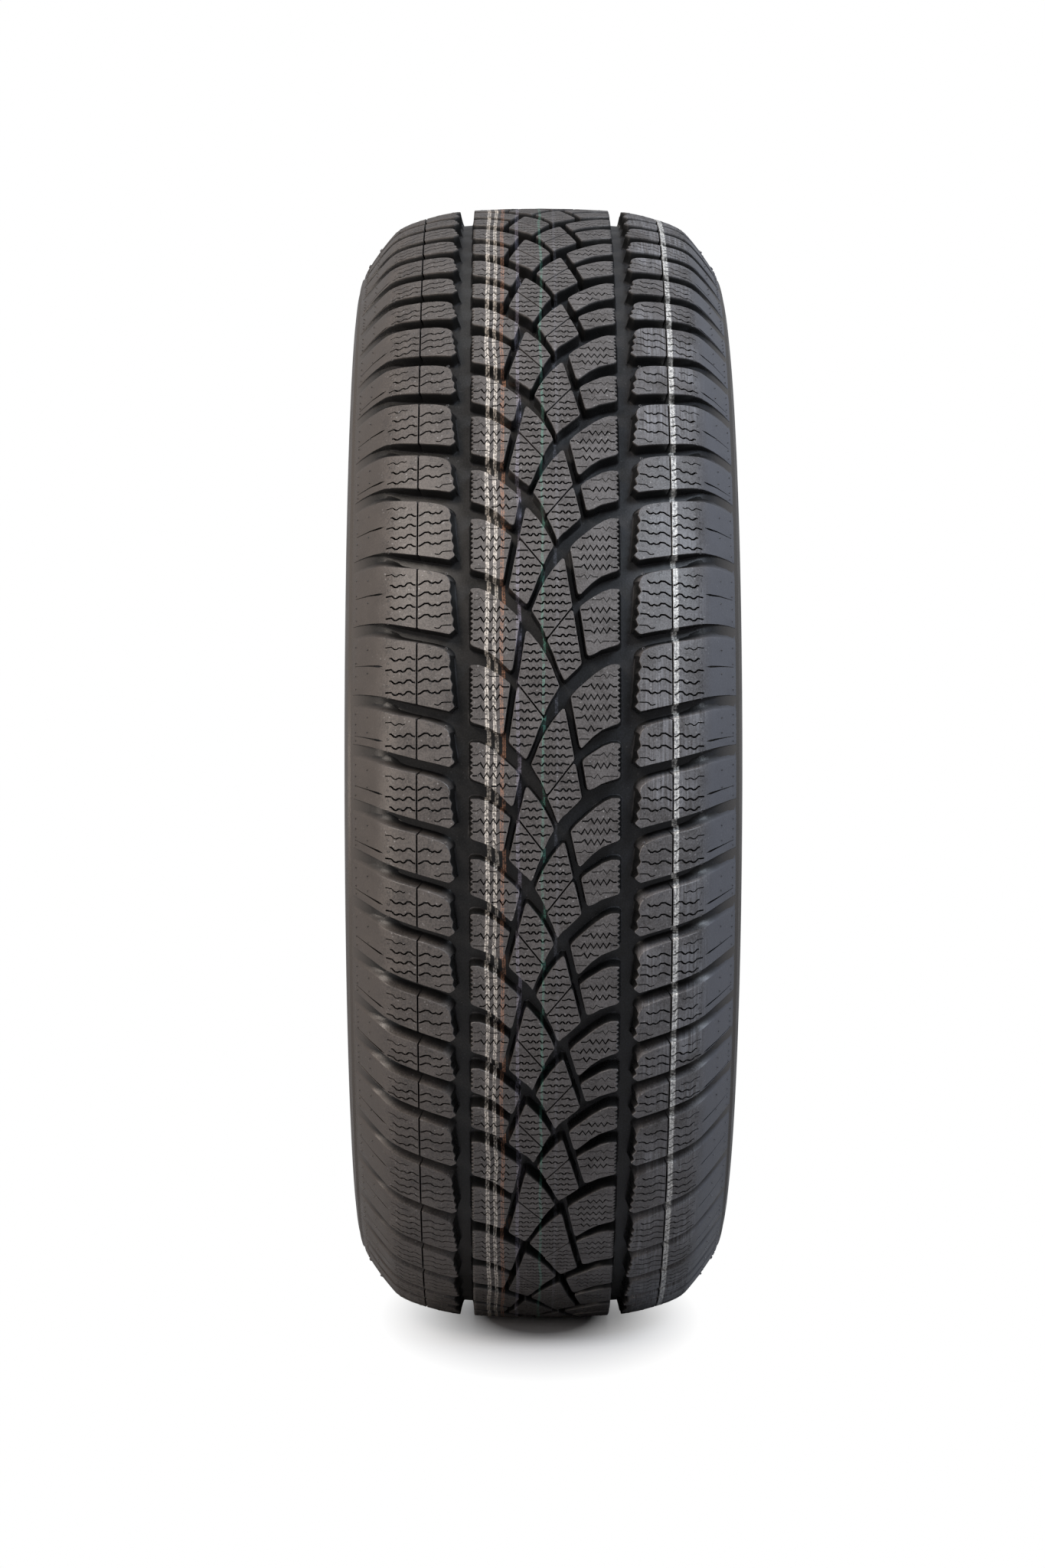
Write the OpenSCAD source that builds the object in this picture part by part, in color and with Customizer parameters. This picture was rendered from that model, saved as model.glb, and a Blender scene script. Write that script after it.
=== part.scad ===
// Radial passenger car tyre, off the rim, standing on its tread.
// Origin at the wheel centre, axle along Y, ground at -Z, the side seen first at +X.

/* [Tyre] */
// radius over the middle of the tread
tyre_r = 326.2; // [280:0.1:380]
// widest half width of the section, on the bulge of the sidewall
half_w = 105.5; // [80:0.5:140]
// how far up from the rim seat to the tread the sidewall is widest, as a share
bulge_share = 0.528; // [0.45:0.01:0.6]
// half width of the tread, to where its grooves run out
tread_half = 100.7; // [90:0.1:102]
// drop of the tread's edge below its middle
edge_drop = 36.5; // [30:0.5:45]
// height that the free standing tyre gives at the ground
ground_flat = 1.5; // [0:0.1:5]

/* [Bead] */
// radius of the rim seat, the tapered heel taken as a cylinder
seat_r = 202.8; // [150:0.1:260]
// distance from the middle plane to the outer face of each bead
bead_half = 76.2; // [60:0.1:100]
// distance from the middle plane to the outer end of the cylindrical land
land_out = 72; // [50:0.5:90]
// distance from the middle plane to the inner end of the cylindrical land
land_in = 58; // [40:0.5:80]

/* [Walls] */
// thickness from the groove floors to the inner liner, at the middle
under_tread = 7; // [4:0.1:12]
// wall thickness at the bulge
wall_t = 7; // [4:0.1:12]
// thickness sideways at the shoulder, from the tread's edge to the inner liner
shoulder_t = 9.7; // [7:0.1:14]

/* [Tread] */
// depth of the main grooves at the middle
groove_depth = 8.6; // [5:0.1:11]
// sideways place of the middle of the pattern
pattern_off = 0.5; // [-3:0.1:3]
// outer edge of the middle band of blocks
rib_edge = 38.6; // [30:0.1:45]
// inner edge of the shoulder blocks
shoulder_edge = 48; // [44:0.1:52]
// width of a shoulder groove
shoulder_w = 8.3; // [5:0.1:10]
// angle of a shoulder groove from straight across
shoulder_angle = 14.8; // [5:0.1:20]
// arc length from the station to the middle of a shoulder groove, at its inner end
shoulder_mid = -2.6; // [-5:0.1:2]
// distance from the middle plane to the thin groove round each shoulder
thin_at = 66.5; // [63:0.1:71]
// width of the thin groove
thin_w = 0.9; // [0.5:0.1:2]
// depth of the thin groove
thin_depth = 5; // [1:0.1:7]
// width of the thin slit between two middle blocks
slit_w = 0.9; // [0.5:0.1:2]
// depth of the thin slit
slit_depth = 6; // [1:0.1:8]

/* [Hidden] */
$fn = 180;

circ = 2 * PI * tyre_r;

// Pitch lengths of the tread round the tyre. The blocks repeat at several lengths
// in a mixed order so that the tyre runs quietly.
pitch_sizes = [25, 27.2, 29, 32, 35.2, 39.6, 40.9];
// the front, from the top of the tread downwards
front_order = [0, 1, 0, 1, 0, 0, 3, 2, 4, 2, 5, 6, 6, 2, 3, 2, 2, 3, 2, 0, 0, 4, 6, 6, 4, 4, 0];
// the rest, on under the tyre and up its back
back_order = [3, 2, 3, 2, 4, 6, 6, 4, 2, 4, 0, 1, 2, 3, 4, 2, 5, 6, 3, 2, 2, 0, 1, 0, 3,
              2, 4, 2, 0, 0, 3, 2, 2, 3, 2, 4, 2, 0, 1];
// arc length, up the front, at which the front order begins
front_top = 424.2;

function total(v, n, i = 0) = i >= n ? 0 : v[i] + total(v, n, i + 1);
order = concat(front_order, back_order);
count = len(order);
listed = [for (k = order) pitch_sizes[k]];
// the lengths close the circle
pitches = [for (p = listed) p * circ / total(listed, count)];
// arc length at which pitch i begins; it runs on past the first turn
function station(i) = front_top - total(pitches, min(i, count))
                      - (i > count ? total(pitches, i - count) : 0);

// Crown of the tread: sideways place and drop below the middle.
crown = [[0, 0], [39, 1.25], [47.9, 1.95], [tread_half - 34.2, 6.1], [tread_half - 25.7, 8.9],
         [tread_half - 16.7, 14], [tread_half - 8.2, 24.2], [tread_half, edge_drop]];
function crown_r(w) = tyre_r - lookup(w, crown);
// Share of the full depth that the shoulder grooves have. They run out at the tread's edge.
fade = [[shoulder_edge - 4.5, 0.92], [66, 0.95], [tread_half - 22.7, 0.8],
        [tread_half - 14.7, 0.42], [tread_half - 8.7, 0.17], [tread_half - 0.7, -0.06]];

// Half section, from the middle out: the ribs and the grooves that run all the way round,
// then the sidewall down to the bead and back up inside.
function notch(a, b, depth) = [[crown_r(a), a], [crown_r(a) - depth, a + 0.05 * depth],
    [crown_r(b) - depth, b - 0.05 * depth], [crown_r(b), b]];
function crown_between(a, b) =
    [for (c = crown) if (c[0] > a + 0.5 && c[0] < b - 0.5) [tyre_r - c[1], c[0]]];
tread_side = concat(
    [[tyre_r, 0]], crown_between(0, rib_edge), notch(rib_edge, shoulder_edge, groove_depth),
    crown_between(shoulder_edge, thin_at), notch(thin_at - thin_w / 2, thin_at + thin_w / 2, thin_depth),
    crown_between(thin_at, tread_half), [[tyre_r - edge_drop, tread_half]]);
edge_r = tyre_r - edge_drop;
bulge_r = seat_r + bulge_share * (tyre_r - seat_r);
function up(t) = bulge_r + t * (edge_r - bulge_r);
function down(t) = bulge_r - t * (bulge_r - seat_r);
wall_side = [
    [up(0.78), along(tread_half, half_w, 0.54)], [up(0.37), along(tread_half, half_w, 0.94)],
    [bulge_r, half_w],
    [down(0.15), half_w - 0.4], [down(0.31), half_w - 1.9], [down(0.46), half_w - 5],
    [down(0.58), half_w - 9.5], [down(0.61), half_w - 9.6], [down(0.68), half_w - 14.5],
    [down(0.74), half_w - 22], [down(0.8), bead_half + 2.5],
    [seat_r + 7, bead_half], [seat_r + 2.2, bead_half], [seat_r + 0.6, land_out + 2.4],
    [seat_r, land_out]];
inside_w = half_w - wall_t;
inside_r = tyre_r - groove_depth - under_tread;
inner_side = [
    [seat_r, land_in], [seat_r + 1.6, land_in - 1.8], [seat_r + 6, land_in - 0.6],
    [down(0.83), land_in + 4], [down(0.72), land_in + 13], [down(0.58), land_in + 22.5],
    [down(0.41), inside_w - 10.5], [down(0.21), inside_w - 2.4],
    [bulge_r, inside_w],
    [along(bulge_r, inside_r, 0.28), along(tread_half, half_w, 0.67) - wall_t],
    [along(bulge_r, inside_r, 0.56), tread_half - shoulder_t],
    [along(bulge_r, inside_r, 0.76), tread_half - shoulder_t - 9.5],
    [along(bulge_r, inside_r, 0.88), tread_half - shoulder_t - 21.5],
    [inside_r - 2.4, 50], [inside_r, 0]];
function mirror_v(p) = [for (i = [len(p) - 1 : -1 : 0]) if (p[i][1] > 0) [p[i][0], -p[i][1]]];
section = concat(mirror_v(concat(tread_side, wall_side)), tread_side, wall_side,
                 inner_side, mirror_v(inner_side));

// Edges of the grooves in the middle band: sideways place u from the middle of the pattern,
// and arc length from the pitch's station. u is negative where the groove starts, and each
// groove is drawn once and turned over to the other side at every second pitch.
long_up = [[-rib_edge - 1.4, -2.4], [-30, -6], [-22.4, -9.7], [-18.8, -13.7], [-9.5, -22.9],
           [-7.3, -25.5], [-1, -36.6], [4, -48.9], [8.6, -60.7], [14, -72]];
long_low = [[-rib_edge - 1.4, -14.2], [-33.5, -14.4], [-27, -18.2], [-19.3, -24.8], [-13.4, -30.9],
            [-9.8, -36.3], [-1.5, -47.2], [5.4, -62], [14, -81]];
short_up = [[-rib_edge - 1.4, -2.8], [-30, -7.2], [-24.4, -11], [-14, -21.6]];
short_low = [[-rib_edge - 1.4, -14.6], [-33.5, -14.6], [-25.5, -18.8], [-14, -27.2]];
// the steep slanted groove: its corners at the long grooves above and below
slant_top = [[-13.2, -31.6], [-9.8, -36.3]];
slant_end = [[-21.9, -9.1], [-18.8, -13.7]];
// the thin slit between two middle blocks
slit_line = [[-14.5, -24.2], [-1, -41.6]];

function along(a, b, t) = a + (b - a) * t;
function raised(p, s) = [for (k = p) [k[0], k[1] + s]];
function flipped(p) = [for (i = [len(p) - 1 : -1 : 0]) [-p[i][0], p[i][1]]];
function reversed(p) = [for (i = [len(p) - 1 : -1 : 0]) p[i]];
function before(p, u) = [for (k = p) if (k[0] < u - 0.4) k];
// u where curves p and q meet, between a and b
function meet(p, q, a, b, n = 14) =
    n == 0 ? (a + b) / 2 :
    let (m = (a + b) / 2, fa = lookup(a, p) - lookup(a, q), fm = lookup(m, p) - lookup(m, q))
    fa * fm <= 0 ? meet(p, q, a, m, n - 1) : meet(p, q, m, b, n - 1);
// curve p up to where it meets curve q
function up_to(p, q, a, b) = let (u = meet(p, q, a, b)) concat(before(p, u), [[u, lookup(u, p)]]);

// Outlines of the grooves, in (u, arc length).
long_mid = [for (k = long_up) [k[0], (k[1] + lookup(k[0], long_low)) / 2]];
function long_groove(i) = // ends in the middle of the next long groove from the other side
    let (s = station(i), stop = raised(flipped(long_mid), station(i + 1)))
    concat(up_to(raised(long_up, s), stop, 0, 13.5),
           reversed(up_to(raised(long_low, s), stop, 0, 13.5)));
function slant_groove(i) =
    let (s0 = station(i), s2 = station(i + 2),
         a = slant_top[0] + [0, s0], b = slant_end[0] + [0, s2],
         c = slant_end[1] + [0, s2], d = slant_top[1] + [0, s0])
    [a + 5 * (a - b) / norm(a - b), b + 4 * (b - a) / norm(b - a),
     c + 2 * (c - d) / norm(c - d), d + 3 * (d - c) / norm(d - c)];
function slant_mid(i) = let (s0 = station(i), s2 = station(i + 2))
    [along(slant_end[0], slant_end[1], 0.5) + [0, s2], along(slant_top[0], slant_top[1], 0.5) + [0, s0]];
function short_groove(i) = // ends in the slanted groove that hangs from the pitch before
    let (s = station(i + 1), stop = slant_mid(i))
    concat(up_to(raised(short_up, s), stop, -19.8, -14.2),
           reversed(up_to(raised(short_low, s), stop, -19.8, -14.2)));
function slit(i) =
    let (s = station(i + 1), a = slit_line[0] + [0, s], b = slit_line[1] + [0, s],
         d = (b - a) / norm(b - a), w = [-d[1], d[0]] * slit_w / 2)
    [a - d + w, b + d + w, b + d - w, a - d - w];

// A straight sided groove cut along the tyre's radius, its outline laid flat about its middle.
module groove(outline, side, depth) {
    ys = [for (p = outline) p[1]];
    mid = (min(ys) + max(ys)) / 2;
    rotate([0, -mid * 360 / circ, 0]) rotate([90, 0, 90])
        translate([0, 0, tyre_r - depth]) linear_extrude(height = depth + 4)
            polygon([for (p = outline)
                [side * p[0] + pattern_off, tyre_r * tan((p[1] - mid) * 360 / circ)]]);
}

module middle_grooves() for (i = [0 : count - 1]) {
    side = i % 2 == 0 ? -1 : 1;
    groove(long_groove(i), side, groove_depth + 0.6);
    groove(slant_groove(i), side, groove_depth);
    groove(short_groove(i), side, groove_depth + 0.8);
    groove(slit(i), side, slit_depth);
}

// A shoulder groove runs straight out at an angle, and its floor rises to the surface.
module shoulder_groove(side) {
    floor_line = [for (f = fade) [(f[0] - shoulder_edge) / cos(shoulder_angle),
                                  crown_r(f[0]) - groove_depth * f[1]]];
    mirror([side < 0 ? 1 : 0, 0, 0])
        translate([shoulder_edge, shoulder_mid, 0]) rotate([0, 0, shoulder_angle])
            rotate([90, 0, 0]) linear_extrude(height = shoulder_w, center = true)
                polygon(concat(floor_line, [[60, tyre_r + 5], [-10, tyre_r + 5]]));
}

// The rounded mouth where a shoulder groove opens into the wide groove.
module shoulder_mouth(side) {
    e = shoulder_edge;
    translate([0, 0, tyre_r - groove_depth - 2]) linear_extrude(height = groove_depth + 6)
        polygon([for (p = [[e - 3, -1], [e + 10, -3], [e + 5.5, -6], [e + 1.2, -9.8],
                           [e - 1, -14.4], [e - 3, -14.4]])
            [side * p[0], p[1]]]);
}

module shoulder_grooves() for (i = [0 : count - 1]) for (side = [-1, 1])
    rotate([0, -station(i) * 360 / circ, 0]) rotate([90, 0, 90]) {
        shoulder_groove(side);
        shoulder_mouth(side);
    }

module casing() rotate([-90, 0, 0]) rotate_extrude() polygon(section);

module tyre() color([0.16, 0.155, 0.155])
    difference() {
        casing();
        middle_grooves();
        shoulder_grooves();
        translate([-200, -200, -tyre_r - 50]) cube([400, 400, 50 + ground_flat]);
    }

tyre();
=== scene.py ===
import math
from bisect import bisect_right

import bpy
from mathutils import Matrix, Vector
from mathutils.geometry import delaunay_2d_cdt


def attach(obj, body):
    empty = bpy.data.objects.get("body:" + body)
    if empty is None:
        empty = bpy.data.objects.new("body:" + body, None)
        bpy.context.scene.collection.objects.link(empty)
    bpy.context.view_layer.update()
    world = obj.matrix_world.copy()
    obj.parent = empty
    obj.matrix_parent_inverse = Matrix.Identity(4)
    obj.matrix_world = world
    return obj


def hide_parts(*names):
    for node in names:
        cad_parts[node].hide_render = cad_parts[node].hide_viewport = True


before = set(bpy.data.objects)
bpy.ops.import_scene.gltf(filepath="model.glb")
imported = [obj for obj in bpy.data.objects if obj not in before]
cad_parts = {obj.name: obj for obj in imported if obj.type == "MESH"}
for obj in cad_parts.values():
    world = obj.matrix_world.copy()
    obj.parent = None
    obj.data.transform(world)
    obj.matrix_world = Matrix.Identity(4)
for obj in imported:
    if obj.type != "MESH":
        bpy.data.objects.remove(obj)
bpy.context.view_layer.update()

# Casing
# The casing is the hollow rubber body of the tyre: the floor of the tread grooves, the
# sidewalls and the two beads that grip the rim. It is built up flat on a drum, blown into
# its ring and cured in a mould. Sizes here are millimetres until a mesh is made.
TYRE_R = 326.2
GROUND = TYRE_R - 1.5
GROOVE_DEPTH = 8.6
TREAD_EDGE = 100.7
CIRCLE = 2 * math.pi * TYRE_R
RIM_SEAT = 202.8

# drop of the crown below the middle of the tread, and how much of the depth grooves have
CROWN = [(0, 0), (20, 0.34), (39, 1.25), (48, 1.95), (57, 3.6), (66.5, 6.1), (75, 8.9), (80, 11.2),
         (84, 14), (88.4, 19.0), (92.5, 24.2), (97, 30.6), (TREAD_EDGE, 36.5)]
DEPTH = [(0, 1.0), (60, 1.0), (70, 0.95), (78, 0.8), (86, 0.42), (92, 0.17), (97, 0.09), (TREAD_EDGE, 0.045)]


def read(table, x):
    """Height of a curve, given as points, at x."""
    x = min(max(x, table[0][0]), table[-1][0])
    k = min(max(bisect_right([p[0] for p in table], x) - 1, 0), len(table) - 2)
    (x0, y0), (x1, y1) = table[k][:2], table[k + 1][:2]
    return y0 + (y1 - y0) * (x - x0) / (x1 - x0)


def crown_slope(w):
    """How steeply the crown falls away there, taken over 3 mm."""
    near, far = max(w - 1.5, 0), w + 1.5
    return (read(CROWN, far) - read(CROWN, near)) / (min(far, TREAD_EDGE) - near)


def on_crown(v, height):
    """Place v across the tread, height above the crown along its own slope: (place, radius)."""
    w = abs(v)
    slope = crown_slope(w)
    length = math.hypot(1, slope)
    lean = height * slope / length
    return v + lean * math.copysign(1, v), TYRE_R - read(CROWN, w) + height / length


def groove_floor(w):
    return TYRE_R - read(CROWN, w) - GROOVE_DEPTH * read(DEPTH, w)


def casing_section():
    """Half section as (radius, place), from the middle of the tread round to the inside."""
    outer = [(groove_floor(w), w) for w in (0, 10, 20, 30, 39, 48, 57, 66, 72, 76, 80, 84, 88, 92, 95, 98)]
    # round the tread's edge, down the sidewall's ribs, and over the bead to the rim seat
    outer += [(TYRE_R - 36.85, TREAD_EDGE), (TYRE_R - 37.6, 101.2), (TYRE_R - 38.6, 100.9), (TYRE_R - 40.2, 101.5),
              (TYRE_R - 41.3, 103.0), (TYRE_R - 43.0, 103.5), (TYRE_R - 44.2, 103.1), (TYRE_R - 45.2, 103.7),
              (278, 104.6), (273, 105.2), (268, 105.5), (262.5, 105.4), (262, 104.9), (258, 104.8),
              (257.5, 105.2), (253, 104.6), (248, 103.5), (243, 102.2), (238, 100.4), (233.5, 98.2),
              (232.3, 97.9), (231.2, 99.2), (229.0, 99.0), (227.6, 97.0), (227.0, 95.2), (225.5, 94.4),
              (223.5, 90.8), (221.6, 87.4), (219.6, 83.6), (217.0, 80.4), (214.2, 78.4), (210, 76.4),
              (207, 76.2), (205, 76.2), (204.0, 75.7), (203.2, 74.4), (RIM_SEAT, 72)]
    inner = [(RIM_SEAT, 58), (203.2, 56.9), (204.4, 56.2), (206.5, 56.2), (209, 57.4), (214, 62),
             (218.5, 68), (223, 75), (227.5, 80.5), (233, 84.6), (241, 89.0), (248, 92.4), (254.3, 96.1),
             (261, 97.8), (268, 98.5), (275, 98.2), (281.5, 96.9), (288, 94.2), (293.5, 91), (299, 86),
             (302.5, 81.5), (305.2, 75), (306.6, 69.5), (307.5, 60), (308.3, 50), (309.6, 32), (310.4, 16),
             (310.6, 0)]
    return outer, inner


def flat_piece(name, points, faces, grooves=None):
    """A mesh laid out flat: along the tread, across it, and radius, in metres."""
    mesh = bpy.data.meshes.new(name)
    mesh.from_pydata([(s / 1000, v / 1000, r / 1000) for s, v, r in points], [], faces)
    if grooves is not None:
        mesh.attributes.new("sunk_shade", "FLOAT", "POINT").data.foreach_set("value", grooves)
    mesh.update()
    piece = bpy.data.objects.new(name, mesh)
    bpy.context.scene.collection.objects.link(piece)
    return piece


def tree_input(tree, name, kind, value=None):
    socket = tree.interface.new_socket(name, in_out="INPUT", socket_type="NodeSocket" + kind)
    if value is not None:
        socket.default_value = value


def maths(tree, operation, a, b=None):
    """A Math node of numbers or sockets; gives its output."""
    node = tree.nodes.new("ShaderNodeMath")
    node.operation = operation
    for socket, value in zip(node.inputs, (a, b)):
        if isinstance(value, (int, float)):
            socket.default_value = value
        elif value is not None:
            tree.links.new(value, socket)
    return node.outputs[0]


def times(tree, a, b):
    return maths(tree, "MULTIPLY", a, b)


def preset(node, values):
    """Sets a node's sockets to plain values."""
    for label, value in values.items():
        node.inputs[label].default_value = value


def split(tree, vector):
    """The X, Y and Z of a vector socket."""
    node = tree.nodes.new("ShaderNodeSeparateXYZ")
    tree.links.new(vector, node.inputs[0])
    return tuple(node.outputs)


def geometry_tree(name, inputs):
    """A Geometry Nodes tree with its sockets: the tree, its input node and its output node."""
    tree = bpy.data.node_groups.new(name, "GeometryNodeTree")
    tree_input(tree, "Geometry", "Geometry")
    for label, value in inputs:
        tree_input(tree, label, "Float", value)
    tree_input(tree, "Rubber", "Material")
    tree.interface.new_socket("Geometry", in_out="OUTPUT", socket_type="NodeSocketGeometry")
    return tree, tree.nodes.new("NodeGroupInput"), tree.nodes.new("NodeGroupOutput")


def real_rubber(tree, made, entry, out):
    """The end of a tree: what it made becomes real mesh with the rubber on it."""
    real, rubber = tree.nodes.new("GeometryNodeRealizeInstances"), tree.nodes.new("GeometryNodeSetMaterial")
    tree.links.new(made, real.inputs[0])
    tree.links.new(real.outputs[0], rubber.inputs["Geometry"])
    tree.links.new(entry.outputs["Rubber"], rubber.inputs["Material"])
    tree.links.new(rubber.outputs[0], out.inputs[0])


def rolling_tree():
    """Rolls a flat strip round the axle, as tread is wound on its drum."""
    tree, entry, out = geometry_tree("roll_round_axle", (
        ("Tread Radius", TYRE_R / 1000), ("Ground Height", GROUND / 1000), ("Weld Distance", 0.0)))
    new, link = tree.nodes.new, tree.links.new
    joined = new("ShaderNodeCombineXYZ")
    along, across, radius = split(tree, new("GeometryNodeInputPosition").outputs[0])
    turn = maths(tree, "DIVIDE", along, entry.outputs["Tread Radius"])
    high = times(tree, radius, maths(tree, "SINE", turn))
    ground = times(tree, entry.outputs["Ground Height"], -1.0)
    link(times(tree, radius, maths(tree, "COSINE", turn)), joined.inputs["X"])
    link(across, joined.inputs["Y"])
    # the tread lies flat where it stands on the ground
    link(maths(tree, "MAXIMUM", high, ground), joined.inputs["Z"])
    rolled, weld = new("GeometryNodeSetPosition"), new("GeometryNodeMergeByDistance")
    link(entry.outputs["Geometry"], rolled.inputs["Geometry"])
    link(joined.outputs[0], rolled.inputs["Position"])
    link(rolled.outputs[0], weld.inputs["Geometry"])
    link(entry.outputs["Weld Distance"], weld.inputs["Distance"])
    real_rubber(tree, weld.outputs[0], entry, out)
    return tree


ROLL = rolling_tree()


def shaped(piece, tree, **inputs):
    """Runs a Geometry Nodes tree on a piece and keeps the result as its plain mesh."""
    modifier = piece.modifiers.new("shape", "NODES")
    modifier.node_group = tree
    for item in tree.interface.items_tree:
        label = item.name.replace(" ", "_").lower()
        if item.in_out == "INPUT" and label in inputs:
            modifier[item.identifier] = inputs[label]
    bpy.context.view_layer.update()
    seen = piece.evaluated_get(bpy.context.evaluated_depsgraph_get())
    mesh = bpy.data.meshes.new_from_object(seen)
    piece.modifiers.remove(modifier)
    old, piece.data = piece.data, mesh
    mesh.name = piece.name
    bpy.data.meshes.remove(old)


def cured(piece, sharp_from):
    """Smooth rubber, its edges kept sharp from that many degrees, riding on the tyre's only body."""
    piece.data.shade_smooth()
    piece.data.set_sharp_from_angle(angle=math.radians(sharp_from))
    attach(piece, "root")
    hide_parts("tyre")


def shader_group(name, inputs, outputs):
    """A shader node group with its sockets: the group, its input node and its output node."""
    group = bpy.data.node_groups.new(name, "ShaderNodeTree")
    for label, kind, value in inputs:
        tree_input(group, label, kind, value)
    for label, kind in outputs:
        group.interface.new_socket(label, in_out="OUTPUT", socket_type="NodeSocket" + kind)
    return group, group.nodes.new("NodeGroupInput"), group.nodes.new("NodeGroupOutput")


def noise(tree, vector, scale, detail=3.0, rough=0.6):
    node = tree.nodes.new("ShaderNodeTexNoise")
    preset(node, {"Scale": scale, "Detail": detail, "Roughness": rough})
    tree.links.new(vector, node.inputs["Vector"])
    return node.outputs["Fac"]


def ramp(tree, value, low, high, to_low=0.0, to_high=1.0):
    """Maps low to high onto to_low to to_high, and holds it there beyond them."""
    node = tree.nodes.new("ShaderNodeMapRange")
    node.clamp = True
    preset(node, {"From Min": low, "From Max": high, "To Min": to_low, "To Max": to_high})
    tree.links.new(value, node.inputs["Value"])
    return node.outputs["Result"]


def mix(tree, factor, a, b):
    """Colour a where factor is 0 and b where it is 1."""
    node = tree.nodes.new("ShaderNodeMix")
    node.data_type = "RGBA"
    for socket, value in ((node.inputs[0], factor), (node.inputs[6], a), (node.inputs[7], b)):
        if isinstance(value, (int, float, tuple)):
            socket.default_value = value
        else:
            tree.links.new(value, socket)
    return node.outputs[2]


def rubber_grain_group():
    """Cured rubber: cloudy tone, fine grain, pale dust specks and a matching relief, with painted light: the bloom
    warm on the left and cool on the right, and pale streaks of painted reflection.
    """
    group, entry, out = shader_group(
        "rubber_grain",
        [("Vector", "Vector", None), ("Rubber", "Color", (0.07, 0.068, 0.068, 1)),
         ("Bloom", "Color", (0.11, 0.107, 0.108, 1)), ("Right Bloom", "Color", (0.11, 0.107, 0.108, 1)),
         ("Cloud Scale", "Float", 90.0), ("Grain Scale", "Float", 1150.0), ("Dust", "Float", 0.3),
         ("Streaks", "Float", 0.0)],
        [("Color", "Color"), ("Roughness", "Float"), ("Height", "Float")])
    link, vector = group.links.new, entry.outputs["Vector"]
    cloud = group.nodes.new("ShaderNodeTexNoise")
    grain = group.nodes.new("ShaderNodeTexNoise")
    specks = group.nodes.new("ShaderNodeTexVoronoi")
    preset(specks, {"Scale": 420.0})
    for node, label in ((cloud, "Cloud Scale"), (grain, "Grain Scale")):
        link(vector, node.inputs["Vector"])
        link(entry.outputs[label], node.inputs["Scale"])
        preset(node, {"Detail": 4.0})
    link(vector, specks.inputs["Vector"])
    tone = maths(group, "ADD", ramp(group, cloud.outputs["Fac"], 0.3, 0.7, 0.0, 0.6),
                 ramp(group, grain.outputs["Fac"], 0.38, 0.64, 0.0, 0.7))
    x, y, z = split(group, vector)
    # painted light: the bloom is tinted warm on the left and cool on the right
    bloom_and_painted_light = mix(group, ramp(group, y, -0.09, 0.09), entry.outputs["Bloom"], entry.outputs["Right Bloom"])
    colour = mix(group, tone, entry.outputs["Rubber"], bloom_and_painted_light)
    # painted reflection: fine pale bluish streaks round the tread, in patches and strongest on its right shoulder
    painted_sheen_place = group.nodes.new("ShaderNodeCombineXYZ")
    link(times(group, y, 900.0), painted_sheen_place.inputs["X"])
    link(times(group, maths(group, "ARCTAN2", z, x), 9.0), painted_sheen_place.inputs["Y"])
    painted_sheen_streak = times(group, ramp(group, noise(group, painted_sheen_place.outputs[0], 1.0, 3.0, 0.7), 0.40, 0.72),
                   ramp(group, y, 0.042, 0.056))
    patch = ramp(group, noise(group, vector, 26.0, 2.0), 0.44, 0.60)
    painted_sheen_streak = times(group, times(group, painted_sheen_streak, patch), ramp(group, y, 0.080, 0.090, 1.0, 0.15))
    colour = mix(group, times(group, painted_sheen_streak, entry.outputs["Streaks"]), colour, (0.42, 0.43, 0.47, 1))
    # pale dust specks, gathered in patches
    speck = times(group, ramp(group, specks.outputs["Distance"], 0.10, 0.24, 1.0, 0.0),
                  ramp(group, noise(group, vector, 160.0), 0.46, 0.66))
    dusty = mix(group, times(group, speck, entry.outputs["Dust"]), colour, (0.36, 0.35, 0.35, 1))
    link(dusty, out.inputs["Color"])
    link(ramp(group, cloud.outputs["Fac"], 0.3, 0.7, 0.38, 0.52), out.inputs["Roughness"])
    link(maths(group, "ADD", grain.outputs["Fac"], times(group, speck, 0.4)), out.inputs["Height"])
    return group


GRAIN = rubber_grain_group()


def marking_line_group():
    """One coloured line sprayed round the tread, which marks the size in the factory. It is two
    strands side by side, broken by the small ribs of the strip it was sprayed on."""
    group, entry, out = shader_group(
        "marking_line",
        [("Color", "Color", None), ("Line Color", "Color", (0.8, 0.8, 0.78, 1)),
         ("Place", "Float", 0.0), ("Width", "Float", 0.0015), ("Wander", "Float", 0.001),
         ("Cover", "Float", 0.8), ("Split", "Float", 0.6)],
        [("Color", "Color")])
    where = group.nodes.new("ShaderNodeTexCoord").outputs["Object"]
    x, y, z = split(group, where)
    drift = times(group, maths(group, "SUBTRACT", noise(group, where, 24.0, 1.0), 0.5), entry.outputs["Wander"])
    gap = maths(group, "ABSOLUTE", maths(group, "SUBTRACT", maths(group, "ADD", y, drift), entry.outputs["Place"]))
    share = maths(group, "DIVIDE", gap, entry.outputs["Width"])
    rough = maths(group, "SUBTRACT", noise(group, where, 1100.0, 2.0), 0.5)
    ragged = maths(group, "ADD", share, times(group, rough, 0.42))
    edge = ramp(group, ragged, 0.40, 0.60, 1.0, 0.0)
    parting = times(group, ramp(group, ragged, 0.03, 0.13, 1.0, 0.0), entry.outputs["Split"])
    strands = maths(group, "SUBTRACT", 1.0, parting)
    turn = times(group, maths(group, "ARCTAN2", z, x), 2300.0)
    ticks = ramp(group, maths(group, "SINE", turn), 0.2, 0.9, 1.0, 0.35)
    worn = ramp(group, noise(group, where, 620.0, 3.0, 0.7), 0.38, 0.58, 0.12, 1.0)
    mask = times(group, times(group, edge, strands), entry.outputs["Cover"])
    mask = times(group, times(group, mask, ticks), worn)
    group.links.new(mix(group, mask, entry.outputs["Color"], entry.outputs["Line Color"]), out.inputs["Color"])
    return group


LINE = marking_line_group()
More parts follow.
